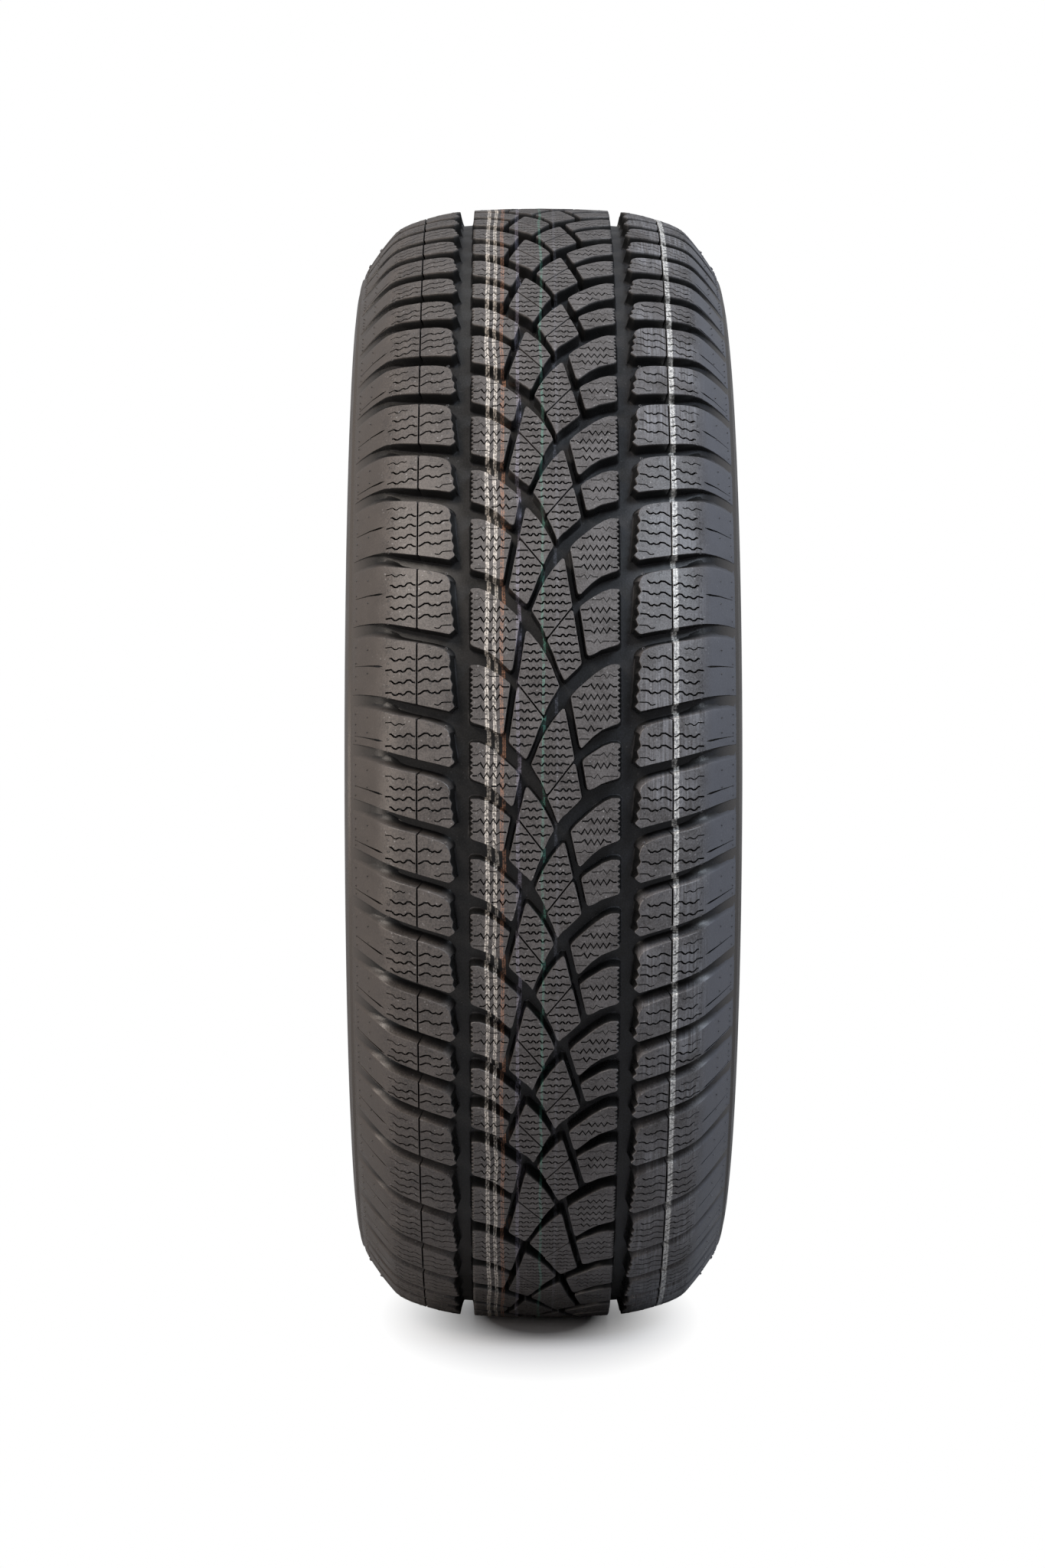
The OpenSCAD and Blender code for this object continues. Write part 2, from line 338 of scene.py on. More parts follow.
# place across the tread, width, wander, cover, split and colour of each marking line
LINES = [(-29.8, 2.0, 3.2, 1.00, 0.75, (0.92, 0.85, 0.76, 1)),
         (-25.8, 1.8, 3.0, 1.00, 0.80, (0.90, 0.83, 0.74, 1)),
         (-22.0, 1.8, 2.4, 0.62, 0.80, (0.58, 0.30, 0.19, 1)),
         (-13.8, 1.8, 2.2, 0.45, 0.30, (0.44, 0.41, 0.52, 1)),
         (-1.0, 1.3, 3.6, 0.50, 0.30, (0.16, 0.42, 0.32, 1)),
         (6.9, 1.6, 1.8, 0.18, 0.00, (0.42, 0.42, 0.48, 1)),
         (68.6, 2.7, 1.2, 1.00, 0.40, (0.97, 0.96, 0.92, 1))]


def rubber_material(name, rubber, bloom_and_painted_light, right_bloom_and_painted_light, dust, side_shift=0.0, lines=True, deep_tone_and_shade=None, foot=None,
                    wall=None, edge=None, right_edge_painted_light=None, bump=0.12, rough=0.0, gloss=0.52, streaks=0.0,
                    paint=1.0):
    """Cured rubber. side_shift moves the lines inwards, where paint runs into a groove; deep is the
    colour down in the grooves, a darker rubber deepened with painted shade, and foot a painted
    highlight where their walls meet the floor; wall is the colour below the tread, painted paler than
    the rubber for its sheen at grazing angles; edge and right_edge_painted_light are the smooth outer shoulder's,
    painted paler for the light it catches, warm on the left and cool on the right."""
    material = bpy.data.materials.new(name)
    material.use_nodes = True
    tree, link = material.node_tree, material.node_tree.links.new
    shader = tree.nodes["Principled BSDF"]
    where = tree.nodes.new("ShaderNodeTexCoord").outputs["Object"]
    grain = tree.nodes.new("ShaderNodeGroup")
    grain.node_tree = GRAIN
    preset(grain, {"Rubber": rubber, "Bloom": bloom_and_painted_light, "Right Bloom": right_bloom_and_painted_light, "Streaks": streaks, "Dust": dust})
    link(where, grain.inputs["Vector"])
    colour, roughness = grain.outputs["Color"], grain.outputs["Roughness"]
    if rough:
        roughness = maths(tree, "ADD", roughness, rough)
    if edge is not None:
        # painted light: the smooth outer shoulder is painted paler, warm on the left and cool on the right
        y = split(tree, where)[1]
        smooth = ramp(tree, maths(tree, "ABSOLUTE", y), 0.081, 0.088, 0.0, 0.8)
        colour = mix(tree, smooth, colour, mix(tree, ramp(tree, y, -0.09, 0.09), edge, right_edge_painted_light))
        roughness = maths(tree, "SUBTRACT", roughness, times(tree, smooth, 0.12))
    if deep_tone_and_shade is not None:
        sunk_shade = tree.nodes.new("ShaderNodeAttribute")
        sunk_shade.attribute_name = "sunk_shade"
        # painted shade: deeper in a groove the rubber turns to the darker groove colour, deepened by shade
        colour = mix(tree, ramp(tree, sunk_shade.outputs["Fac"], 0.015, 0.14), colour, deep_tone_and_shade)
        # painted highlight: a paler line where a wall meets the groove's floor, for the sheen of its fillet
        colour = mix(tree, ramp(tree, sunk_shade.outputs["Fac"], 0.84, 0.96), colour, foot)
        roughness = maths(tree, "SUBTRACT", roughness, ramp(tree, sunk_shade.outputs["Fac"], 0.1, 0.5, 0.0, 0.14))
    if wall is not None:
        # 1 on the tread's grooves; 0 below the tread, on the sidewalls and inside
        x, y, z = split(tree, where)
        radius = maths(tree, "SQRT", maths(tree, "ADD", times(tree, x, x), times(tree, z, z)))
        # where the grooves run out at the tread's edge, the groove floor's dark colour, partly painted shade, gives
        # way to the sidewall's
        flank = ramp(tree, maths(tree, "ABSOLUTE", y), 0.088, 0.1008, 1.0, 0.0)
        above = maths(tree, "MINIMUM", ramp(tree, radius, 0.2885, 0.2905), flank)
        colour = mix(tree, above, wall, colour)
        below = maths(tree, "SUBTRACT", 1.0, above)
        roughness = maths(tree, "SUBTRACT", roughness, times(tree, below, 0.08))
    bare = colour
    if lines:
        for place, width, wander, cover, strands, line_colour in LINES:
            line = tree.nodes.new("ShaderNodeGroup")
            line.node_tree = LINE
            preset(line, {"Line Color": line_colour, "Width": width / 1000, "Wander": wander / 1000,
                          "Place": (place - math.copysign(side_shift, place)) / 1000,
                          "Cover": min(cover * paint, 1.0), "Split": strands})
            link(colour, line.inputs["Color"])
            colour = line.outputs["Color"]
    if wall is not None:
        colour = mix(tree, above, bare, colour)
    link(colour, shader.inputs["Base Color"])
    link(roughness, shader.inputs["Roughness"])
    relief = tree.nodes.new("ShaderNodeBump")
    preset(relief, {"Strength": bump, "Distance": 0.0004})
    link(grain.outputs["Height"], relief.inputs["Height"])
    link(relief.outputs["Normal"], shader.inputs["Normal"])
    preset(shader, {"Specular IOR Level": gloss})
    return material


# the groove floors' dark rubber is partly painted shade; the sidewall colour is painted paler for its sheen, and the
# bloom warm on the left and cool on the right
FLOOR_RUBBER = rubber_material("groove_rubber", (0.016, 0.016, 0.015, 1), (0.034, 0.033, 0.032, 1),
                               (0.028, 0.029, 0.034, 1), 0.10, side_shift=0.9, wall=(0.100, 0.091, 0.084, 1),
                               rough=-0.08, gloss=0.30, paint=1.6)
casing_outer, casing_inner = casing_section()
ring = ([(r, -v) for r, v in reversed(casing_outer[1:])] + casing_outer + casing_inner
        + [(r, -v) for r, v in reversed(casing_inner[:-1])])
STEPS = 330
points = [(CIRCLE * (k / STEPS - 0.5), v, r) for k in range(STEPS + 1) for r, v in ring]
faces = []
for k in range(STEPS):
    for i in range(len(ring)):
        a, b = k * len(ring) + i, k * len(ring) + (i + 1) % len(ring)
        faces.append((a, a + len(ring), b + len(ring), b))
casing = flat_piece("casing", points, faces)
# the strip's two ends meet at the back and are welded
shaped(casing, ROLL, weld_distance=0.00002, rubber=FLOOR_RUBBER)
cured(casing, sharp_from=30)


# Middle blocks
# The tread is one thick strip of harder rubber. The mould presses its grooves and sipes as
# it cures: steel fins leave the grooves, thin wavy blades the sipes. In the middle band each
# pitch has two outer blocks with toothed edges and zigzag sipes, a kite and the heel below it.

# lengths of the pitches, and their order round the tyre from the top of its front downwards
SIZES = (25, 27.2, 29, 32, 35.2, 39.6, 40.9)
ORDER = (0, 1, 0, 1, 0, 0, 3, 2, 4, 2, 5, 6, 6, 2, 3, 2, 2, 3, 2, 0, 0, 4, 6, 6, 4, 4, 0,
         3, 2, 3, 2, 4, 6, 6, 4, 2, 4, 0, 1, 2, 3, 4, 2, 5, 6, 3, 2, 2, 0, 1, 0, 3,
         2, 4, 2, 0, 0, 3, 2, 2, 3, 2, 4, 2, 0, 1)
COUNT = len(ORDER)
FIRST_STATION = 424.2
STATIONS = [FIRST_STATION]
for k in ORDER + ORDER[:3]:
    STATIONS.append(STATIONS[-1] - SIZES[k] * CIRCLE / sum(SIZES[j] for j in ORDER))
PATTERN_MIDDLE = 0.5
RIB = 38.6
SIPE_DEPTH = 3.2
SIPE_WIDTH = 0.85
GENTLE_BEND = 28

# edges of the grooves: place from the pattern's middle, arc length from the station
LONG_UP = [(-RIB, -2.6), (-37.4, -3.6), (-33.3, -4.9), (-29, -6.4), (-25.4, -8.6), (-22.4, -9.3),
           (-18.8, -13.7), (-16.6, -16.3), (-13.7, -19.1), (-10.8, -22), (-9.5, -22.9),
           (-7.3, -25.5), (-5.2, -29.4), (-2.4, -33.8), (0, -38.8), (1.0, -42.3), (4, -48.9),
           (6, -54.6), (8.6, -60.7), (14, -72)]
LONG_LOW = [(-RIB, -14.2), (-34.5, -14.2), (-31, -15.6), (-26.6, -18.5), (-22.3, -22.1), (-19.3, -24.8),
            (-16.1, -27.7), (-13.4, -30.9), (-9.8, -36.3), (-3.6, -44.1), (0, -49.8), (3, -55.7),
            (5.4, -62), (7, -65.8), (14, -82)]
SHORT_UP = [(-RIB, -3.2), (-37.2, -4.3), (-34, -5.5), (-29.3, -7.5), (-24.4, -11.2), (-21, -14.7), (-14, -22)]
SHORT_LOW = [(-RIB, -14.6), (-34.4, -14.5), (-30, -16), (-25.5, -18.8), (-21.7, -21.3), (-19, -23.7), (-14, -27.6)]
SLIT = [(-18.5, -19.04), (5, -49.33)]


def lifted(table, s):
    """A curve moved along the tread."""
    return [(u, y + s) for u, y in table]


def turned_over(table):
    """A curve mirrored in the pattern's middle."""
    return [(-u, y) for u, y in reversed(table)]


def crossing(p, q, a, b):
    """Place between a and b where curves p and q meet."""
    fa = read(p, a) - read(q, a)
    for _ in range(40):
        m = (a + b) / 2
        fm = read(p, m) - read(q, m)
        if (fa <= 0) == (fm <= 0):
            a = m
        else:
            b = m
    return (a + b) / 2


def stretch(table, a, b):
    """The part of a curve between two places, with its end points."""
    return [(a, read(table, a))] + [p for p in table if a + 0.5 < p[0] < b - 0.5] + [(b, read(table, b))]


def slant_edges(i):
    """The two edges of the slanted groove between the outer blocks and the kite."""
    outer = [(-21.9, STATIONS[i + 2] - 9.1), (-13.2, STATIONS[i] - 31.6)]
    inner = [(-18.8, STATIONS[i + 2] - 13.7), (-9.8, STATIONS[i] - 36.3)]
    return outer, inner


def outer_block_long(i):
    s0, s1 = STATIONS[i:i + 2]
    edge, low = slant_edges(i)[0], lifted(SHORT_UP, s1)
    c = crossing(edge, low, -21, -14.2)
    return list(reversed(stretch(lifted(LONG_LOW, s0), -RIB, -13.2))) + stretch(low, -RIB, c)


def outer_block_short(i):
    s1, s2 = STATIONS[i + 1:i + 3]
    edge, top, low = slant_edges(i)[0], lifted(SHORT_LOW, s1), lifted(LONG_UP, s2)
    c = crossing(edge, top, -21.6, -14.2)
    return list(reversed(stretch(top, -RIB, c))) + stretch(low, -RIB, -21.9)


def kite_block(i):
    s0, s1 = STATIONS[i:i + 2]
    inner, far, right = slant_edges(i)[1], lifted(turned_over(LONG_UP), s1), lifted(LONG_LOW, s0)
    slit = lifted(SLIT, s1 + 0.7)
    c, d, g = crossing(right, far, -6, 8.5), crossing(far, slit, -6, 4), crossing(inner, slit, -17.5, -10.5)
    return list(reversed(stretch(right, -9.8, c))) + stretch(slit, g, d) + stretch(far, d, c)[1:-1]


def heel_block(i):
    s1, s2 = STATIONS[i + 1:i + 3]
    inner, far, low = slant_edges(i)[1], lifted(turned_over(LONG_UP), s1), lifted(LONG_UP, s2)
    slit = lifted(SLIT, s1 - 0.7)
    d, g, tip = crossing(far, slit, -6, 4), crossing(inner, slit, -17.5, -10.5), crossing(low, far, -16, -3)
    return [(d, read(slit, d)), (g, read(slit, g))] + stretch(low, -18.8, tip) + stretch(far, tip, d)[1:-1]


def softened(outline, radius):
    """Rounds the corners of a closed outline; gentle bends stay as they are."""
    out = []
    n = len(outline)
    for k in range(n):
        if len(outline[k]) == 3:
            out.append(outline[k])
            continue
        a, b, c = (Vector(outline[(k + j) % n][:2]) for j in (-1, 0, 1))
        into, away = b - a, c - b
        if into.length < 1e-4 or away.length < 1e-4:
            continue
        r = radius(b) if callable(radius) else radius
        if abs(into.angle(away)) < math.radians(GENTLE_BEND):
            out.append(tuple(b))
            continue
        # a sharp corner is drawn back further for the same roundness
        r *= min(max(math.tan(abs(into.angle(away)) / 2), 0.8), 4)
        back, on = min(r, into.length * 0.45), min(r, away.length * 0.45)
        p, q = b - into.normalized() * back, b + away.normalized() * on
        for t in (0.0, 0.33, 0.67, 1.0):
            out.append(tuple(p * (1 - t) ** 2 + b * 2 * t * (1 - t) + q * t * t))
    return out


def area(outline):
    """Area of a closed outline, above 0 where it runs anticlockwise."""
    return sum(a[0] * b[1] - b[0] * a[1] for a, b in zip(outline, outline[1:] + outline[:1])) / 2


def walked(outline):
    """Closed outline cut into short steps: (u, s, outward, notch)."""
    if area(outline) < 0:
        outline = outline[::-1]
    steps = []
    n = len(outline)
    for k in range(n):
        p, q = Vector(outline[k][:2]), Vector(outline[(k + 1) % n][:2])
        pieces = max(math.ceil((q - p).length / 4.5), 1)
        steps.append((p, outline[k][2] if len(outline[k]) == 3 else 0.0))
        for j in range(1, pieces):
            steps.append((p.lerp(q, j / pieces), 0.0))
    rim = []
    for k, (p, notch) in enumerate(steps):
        a, b = steps[k - 1][0], steps[(k + 1) % len(steps)][0]
        t = (b - a).normalized()
        rim.append((p.x, p.y, Vector((t.y, -t.x)), notch))
    return rim


def span(loop, s):
    """Where the line at arc length s lies inside a closed loop: a list of (from, to)."""
    hits = []
    for (x0, y0), (x1, y1) in zip(loop, loop[1:] + loop[:1]):
        if (y0 <= s) != (y1 <= s):
            hits.append(x0 + (x1 - x0) * (s - y0) / (y1 - y0))
    hits.sort()
    return list(zip(hits[::2], hits[1::2]))


def sipe_slot(path, width, waved=1.0):
    """Closed outline of a thin blade's slot along a path, wider by waved where it waves."""
    left, right = [], []
    for k, p in enumerate(path):
        a, b = Vector(path[max(k - 1, 0)]), Vector(path[min(k + 1, len(path) - 1)])
        t = (b - a).normalized()
        side = Vector((-t.y, t.x)) * width / 2 * (waved if 1 < k < len(path) - 2 else 1.0)
        left.append(tuple(Vector(p) + side))
        right.append(tuple(Vector(p) - side))
    return left + right[::-1]


def zigzag(a, b, s, places, height, sharp=True):
    """A sipe from a to b, waved at the given places up and down in turn and straight outside them."""
    path = [(a, s)]
    if len(places) < 3:
        return [(a, s), (b, s)]
    step = (places[-1][0] - places[0][0]) / (len(places) - 1)
    for k, (u, up) in enumerate(places):
        if k in (0, len(places) - 1):
            path.append((u, s))
        elif sharp:
            path.append((u, s + up * height))
        else:
            path += [(u - step * 0.2, s + up * height), (u + step * 0.2, s + up * height)]
    return path + [(b, s)]


def wave_places(first, step, a, b):
    """Turning places of a wave that keeps in step from row to row, between a and b."""
    found = []
    k = math.ceil((a - first) / step)
    while first + k * step < b:
        found.append((first + k * step, 1 if k % 2 else -1))
        k += 1
    return found


def inside(loop, slot):
    """Whether a slot's outline lies inside a block's top."""
    halfway = [((a[0] + b[0]) / 2, (a[1] + b[1]) / 2) for a, b in zip(slot, slot[1:] + slot[:1])]
    return all(any(a + 0.03 < u < b - 0.03 for a, b in span(loop, s)) for u, s in slot + halfway)


def fitted(loop, slot_at):
    """A sipe's slot, shortened a little at each try until it lies inside a block's top."""
    for tries, inset in enumerate((0, 0.3, 0.8, 1.6)):
        slot = slot_at(inset, tries)
        if inside(loop, slot):
            return [(slot, SIPE_DEPTH)]
    return []


class Strip:
    """Blocks pressed into one strip of tread, still flat."""

    def __init__(self):
        self.points, self.faces, self.sunk_shade = [], [], []

    def point(self, v, s, height):
        place, radius = on_crown(v, height)
        self.points.append((s, place, radius))
        # how far down a point lies sets how much painted shade its rubber gets
        self.sunk_shade.append(min(max(-height / GROOVE_DEPTH, 0.0), 1.0))
        return len(self.points) - 1

    def block(self, outline, side, radius, flare, slots, extra=(), middle=PATTERN_MIDDLE, shade=lambda u, n: 1.0):
        """One block. radius rounds its corners, flare(u, s, outward) is how far its wall runs out by
        the groove's floor, and shade(u, outward) how much painted shade it gets down there. slots(top) gives its
        sipes, and extra are more points on its top, where the crown bends."""
        rim = walked(softened(outline, radius))
        top = [(u - n.x * notch, s - n.y * notch) for u, s, n, notch in rim]
        flat, loops, depths = [Vector(p) for p in top], [list(range(len(top)))], [0.0]
        for cut, depth in slots(top):
            if not inside(top, cut):
                continue
            cut = cut if area(cut) > 0 else cut[::-1]
            loops.append(list(range(len(flat), len(flat) + len(cut))))
            flat += [Vector(p) for p in cut]
            depths.append(depth)
        flat += [Vector(p) for p in extra]
        verts, _, tris, origins, _, sources = delaunay_2d_cdt(flat, [], loops, 1, 1e-5, True)
        place = {name: k for k, names in enumerate(origins) for name in names}

        def across(u):
            return side * u + middle

        high = [self.point(across(p.x), p.y, 0.0) for p in verts]
        low, new, slot_edges = {}, [], set()
        for tri, source in zip(tris, sources):
            cuts = [name for name in source if name > 0]
            if cuts:
                for a, b in zip(tri, tri[1:] + tri[:1]):
                    slot_edges.add((a, b))
                for k in tri:
                    if k not in low:
                        v = across(verts[k].x)
                        depth = min(depths[cuts[0]], GROOVE_DEPTH * read(DEPTH, abs(v)) + 0.3)
                        low[k] = self.point(v, verts[k].y, -depth)
                        # a sipe's floor gets full painted shade, short of the painted highlight at a wall's foot
                        self.sunk_shade[-1] = 0.8
                new.append([low[k] for k in tri])
            elif source:
                new.append([high[k] for k in tri])
        for a, b in slot_edges:
            if (b, a) not in slot_edges:
                new.append([low[b], low[a], high[a], high[b]])
        rings = [[high[place[k]] for k in range(len(top))]]
        # down the wall: share of the depth, share of the flare and how much of the teeth is left
        for down, run, toothed in ((0.035, 0.10, 1.0), (0.45, 0.32, 0.85), (0.78, 0.58, 0.4),
                                   (0.95, 0.80, 0.0), (1.05, 1.15, 0.0)):
            level = []
            for u, s, n, notch in rim:
                height = -down * GROOVE_DEPTH * read(DEPTH, abs(across(u))) - (0.25 if down > 1 else 0.0)
                push = flare(u, s, n) * run - notch * toothed
                out = min(u + n.x * push, max(u, 100.0) + 0.2)
                level.append(self.point(across(out), s + n.y * push, height))
                # painted shade down the wall, scaled by shade for the side the wall faces
                self.sunk_shade[-1] = min(down, 1.0) * shade(u, n)
            rings.append(level)
        for upper, lower in zip(rings, rings[1:]):
            for k in range(len(top)):
                j = (k + 1) % len(top)
                new.append([upper[j], upper[k], lower[k], lower[j]])
        new.append(rings[-1][::-1])
        self.faces += new if side > 0 else [f[::-1] for f in new]


def teeth(p, q, pitch, depth):
    """Small teeth along a straight edge, as points marked with how far they are cut in."""
    p, q = Vector(p), Vector(q)
    length = (q - p).length
    count = 2 * round((length - 2.4) / pitch)
    if count < 2:
        return []
    first = (length - count * pitch / 2) / 2
    along = (q - p).normalized()
    return [(*(p + along * (first + k * pitch / 2)), depth if k % 2 else 0.0) for k in range(count + 1)]


def rib_toothed(outline):
    """Adds teeth to the edge that faces the wide groove."""
    out = []
    for p, q in zip(outline, outline[1:] + outline[:1]):
        out.append(p)
        if abs(p[0] + RIB) < 0.01 and abs(q[0] + RIB) < 0.01:
            out += teeth(p, q, 2.7, 1.4)
    return out


def rib_flare(u, s, n):
    """The wall at the wide groove leans out more than the others."""
    return 1.1 + 1.1 * min(max((abs(u) - 28) / 8, 0), 1)


def kite_flare(u, s, n):
    """Upright at the thin slit between kite and heel."""
    return 0.12 if n.x * -0.79 + n.y * -0.61 > 0.93 else 1.2


def heel_flare(u, s, n):
    return 0.12 if n.x * 0.79 + n.y * 0.61 > 0.93 else 1.2


def rows(loop, first, gap, below_top, above_foot, reach, inset):
    """Levels at which sipes fit in a block, with their ends: (s, from, to)."""
    ys = [p[1] for p in loop]
    out = []
    s = first
    while s > min(ys) + above_foot:
        edges = [span(loop, s + reach * d / 3) for d in range(-3, 4)]
        if s < max(ys) - below_top and all(edges):
            out.append((s, max(e[0][0] for e in edges) + inset, min(e[-1][1] for e in edges) - inset))
        s -= gap
    return out


def zigzag_rows(first, gap):
    """Sharp zigzag sipes across an outer block, the top and bottom ones faint and short."""
    def cuts(loop):
        found = [row for row in rows(loop, first, gap, 2.5, 2.2, 0.6, 0.2) if row[2] - row[1] > 5]
        out = []
        for k, (s, a, b) in enumerate(found):
            places = wave_places(-35.2, 1.65, a + 1.4, b - 2.4)
            if k == 0:
                places = places[:5]
            elif k == len(found) - 1:
                places = places[-5:]
            height, width, waved = (1.2, 0.48, 1.1) if k in (0, len(found) - 1) else (1.4, SIPE_WIDTH, 1.4)
            out += fitted(loop, lambda inset, tries: sipe_slot(
                zigzag(a + inset, b - inset, s, places[:max(len(places) - tries, 0)], height), width, waved))
        return out
    return cuts


def wavy_rows(first, gap):
    """Softly waved sipes across a kite and its heel."""
    def cuts(loop):
        out = []
        for s, a, b in rows(loop, first, gap, 4.5, 2.8, 0.5, 0.2):
            if b - a > 4:
                out += fitted(loop, lambda inset, tries: sipe_slot(zigzag(
                    a + inset, b - inset, s, wave_places(-30.0, 1.6, a + 1.0 + inset, b - 1.0 - inset), 0.62, False),
                    SIPE_WIDTH, 1.1))
        return out
    return cuts


# the tread's bloom and outer shoulder are painted warm on the left and cool on the right, its grooves darken with
# painted shade, foot is a painted highlight and the streaks a painted reflection
TREAD_RUBBER = rubber_material("tread_rubber", (0.051, 0.046, 0.044, 1), (0.129, 0.113, 0.102, 1),
                               (0.142, 0.139, 0.146, 1), 0.8, deep_tone_and_shade=(0.009, 0.009, 0.009, 1),
                               foot=(0.055, 0.055, 0.058, 1), edge=(0.092, 0.081, 0.073, 1),
                               right_edge_painted_light=(0.128, 0.132, 0.152, 1), bump=0.25, streaks=0.55)
WAVY_GAP = 4.4
outer_blocks, inner_blocks = Strip(), Strip()
for i in range(COUNT):
    # the pitches lie left and right in turn
    side = -1 if i % 2 == 0 else 1
    s0, s1 = STATIONS[i:i + 2]
    outer_blocks.block(rib_toothed(outer_block_long(i)), side, 1.6, rib_flare, zigzag_rows(s0 - 20.4, 5.45))
    outer_blocks.block(rib_toothed(outer_block_short(i)), side, 1.6, rib_flare, zigzag_rows(s1 - 20.5, 5.55))
    inner_blocks.block(kite_block(i), side, 1.2, kite_flare, wavy_rows(s0 - 44.3, WAVY_GAP))
    inner_blocks.block(heel_block(i), side, 1.2, heel_flare, wavy_rows(s0 - 44.3 - WAVY_GAP * 3, WAVY_GAP))
for name, strip in (("middle_outer_blocks", outer_blocks), ("middle_kites", inner_blocks)):
    piece = flat_piece(name, strip.points, strip.faces, strip.sunk_shade)
    shaped(piece, ROLL, rubber=TREAD_RUBBER)
    cured(piece, sharp_from=22)


# Shoulder blocks
# The shoulder blocks carry the load in bends. A thin groove splits each into an inner and an
# outer half. Angled grooves part them and run out over the tread's edge, where the rubber is
# smooth; only the flat part of each block has sipes.
SHOULDER_MIDDLE = 0.3
THIN_INNER, THIN_OUTER = 66.05, 66.95
# a block's upper edge from its own station, its lower edge from the next, and a sipe's wave
SHOULDER_TOP = [(52.2, -6.2), (55, -4.9), (65, -2), (75, 0.2), (82, 1.9), (88, 3.9), (94, 5.4), (TREAD_EDGE, 6.5)]
SHOULDER_LOW = [(49.3, 2.2), (56, 3.9), (65.6, 6.2), (75.6, 8.8), (84.5, 11.4), (90.5, 13.3), (97, 15.0),
                (TREAD_EDGE, 15.6)]
SIPE_WAVE = [(83, 0), (79.8, 0), (78.3, -1.5), (77.2, -1.7), (75.9, -0.9), (75.0, -0.9), (73.8, -1.7), (72.8, -1.4),
             (71.5, 0), (69.9, 0), (68.5, -1.3), (67.3, -1.6), (65.5, -1.6), (64.3, -1.0), (62.6, 0.1), (60.6, 0.1),
             (59.3, -1.2), (58.2, -1.4), (57.0, -0.8), (55.8, -1.5), (54.8, -1.4), (53.6, -0.2), (52.6, 0),
             (46, 0)][::-1]


def shoulder_levels(i):
    """Arc lengths of a shoulder block's sipes, from the top."""
    s0, s1 = STATIONS[i:i + 2]
    count = max(round((s0 - s1 - 3.5) / 5.9), 3)
    gap = (s0 - s1 - 9.9) / (count - 1)
    return [s0 - 2.8 - k * gap for k in range(count)]


def shoulder_edge(i, s):
    """Inner edge of a shoulder block, which leans outwards to its top."""
    s0, s1 = STATIONS[i:i + 2]
    return 47.0 + 2.4 * min(max((s - s1 - 5) / (s0 - s1 - 15), 0), 1)


def shoulder_inner(i, tooth):
    """Outline of a block's inner half, scalloped by tooth where it faces the wide groove."""
    s0, s1 = STATIONS[i:i + 2]
    levels = [s for s in shoulder_levels(i)[2:] if s1 + 6 < s < s0 - 11]
    toothed = []
    for k, s in enumerate(reversed(levels)):
        toothed.append((shoulder_edge(i, s), s, tooth))
        above = min(s + (levels[0] - levels[1] if len(levels) > 1 else 5.8) / 2, s0 - 10)
        toothed.append((shoulder_edge(i, above), above, 0.0))
    return ([(52.2, s0 - 6.2), (55, s0 - 4.9), (60, s0 - 3.3), (THIN_INNER, s0 + read(SHOULDER_TOP, THIN_INNER)),
             (THIN_INNER, s1 + read(SHOULDER_LOW, THIN_INNER)), (60, s1 + read(SHOULDER_LOW, 60)), (55, s1 + 3.7),
             (49.6, s1 + 2.3), (47.0, s1 + 4.4)] + toothed + [(50.1, s0 - 8.2)])


def shoulder_outer(i):
    """Outline of a block's outer half, from the thin groove to the tread's edge."""
    top, low = ([(THIN_OUTER, read(table, THIN_OUTER) + s)] + [(u, y + s) for u, y in table if u > 68]
                for table, s in ((SHOULDER_TOP, STATIONS[i]), (SHOULDER_LOW, STATIONS[i + 1])))
    return top + low[::-1]


def shoulder_flare(u, s, n):
    """Steep below the block, a long ramp above it, a drafted wall inside, none at the thin groove."""
    if abs(u - 66.5) < 0.6 and abs(n.x) > 0.9:
        return 0.0
    if u > 98 and n.x > 0.6:
        return 0.2
    if n.y > 0.3:
        return 3.4 + 2.2 * min(max((u - 76) / 14, 0), 1)
    return 0.9 if n.y < -0.5 else 2.2


def shoulder_shade(u, n):
    """Painted light and shade: the ramp above a block, which faces up, is painted paler than the walls, and the
    painted shade on both thins out towards the tread's edge.
    """
    return (0.16 if n.y > 0.3 else 1.0) * (1 - 0.75 * min(max((u - 90) / 10, 0), 1))


def sipe_path(s, a, b):
    """The shoulder's uneven sipe wave at arc length s, from a to b."""
    pts = [(u, s + y) for u, y in SIPE_WAVE if a + 0.3 < u < b - 0.3]
    return [(a, s + read(SIPE_WAVE, a))] + pts + [(b, s + read(SIPE_WAVE, b))]


def shoulder_cuts(i, inner):
    """A short sipe outside at the top, whole ones, and a short one inside at the foot."""
    def cuts(loop):
        out = []
        levels = shoulder_levels(i)
        for k, s in enumerate(levels):
            first, last = k == 0, k == len(levels) - 1
            edges = [span(loop, s + d / 6) for d in range(-3, 4)]
            if first and inner or last and not inner or not all(edges):
                continue
            a, b = max(e[0][0] for e in edges) + 0.2, min(e[-1][1] for e in edges) - 0.12
            b = min(b, (83.0, 80.8)[k % 2])
            if first:
                a = 72.6
            elif k == 1:
                a = max(a, 53.2)
            if last:
                b = 57.3
            if b - a > 4:
                width = 0.6 if first or last else 0.92
                out += fitted(loop, lambda inset, tries: sipe_slot(sipe_path(s, a + inset, b - inset), width, 1.1))
        return out
    return cuts


def edge_slit(s0):
    """The short slit that narrows outwards, in the smooth outer half of a block."""
    return [(84.0, s0 - 12.9), (86.5, s0 - 11.7), (92, s0 - 10.4), (99.3, s0 - 8.7), (99.4, s0 - 9.0),
            (92, s0 - 11.1), (86.5, s0 - 12.9)]


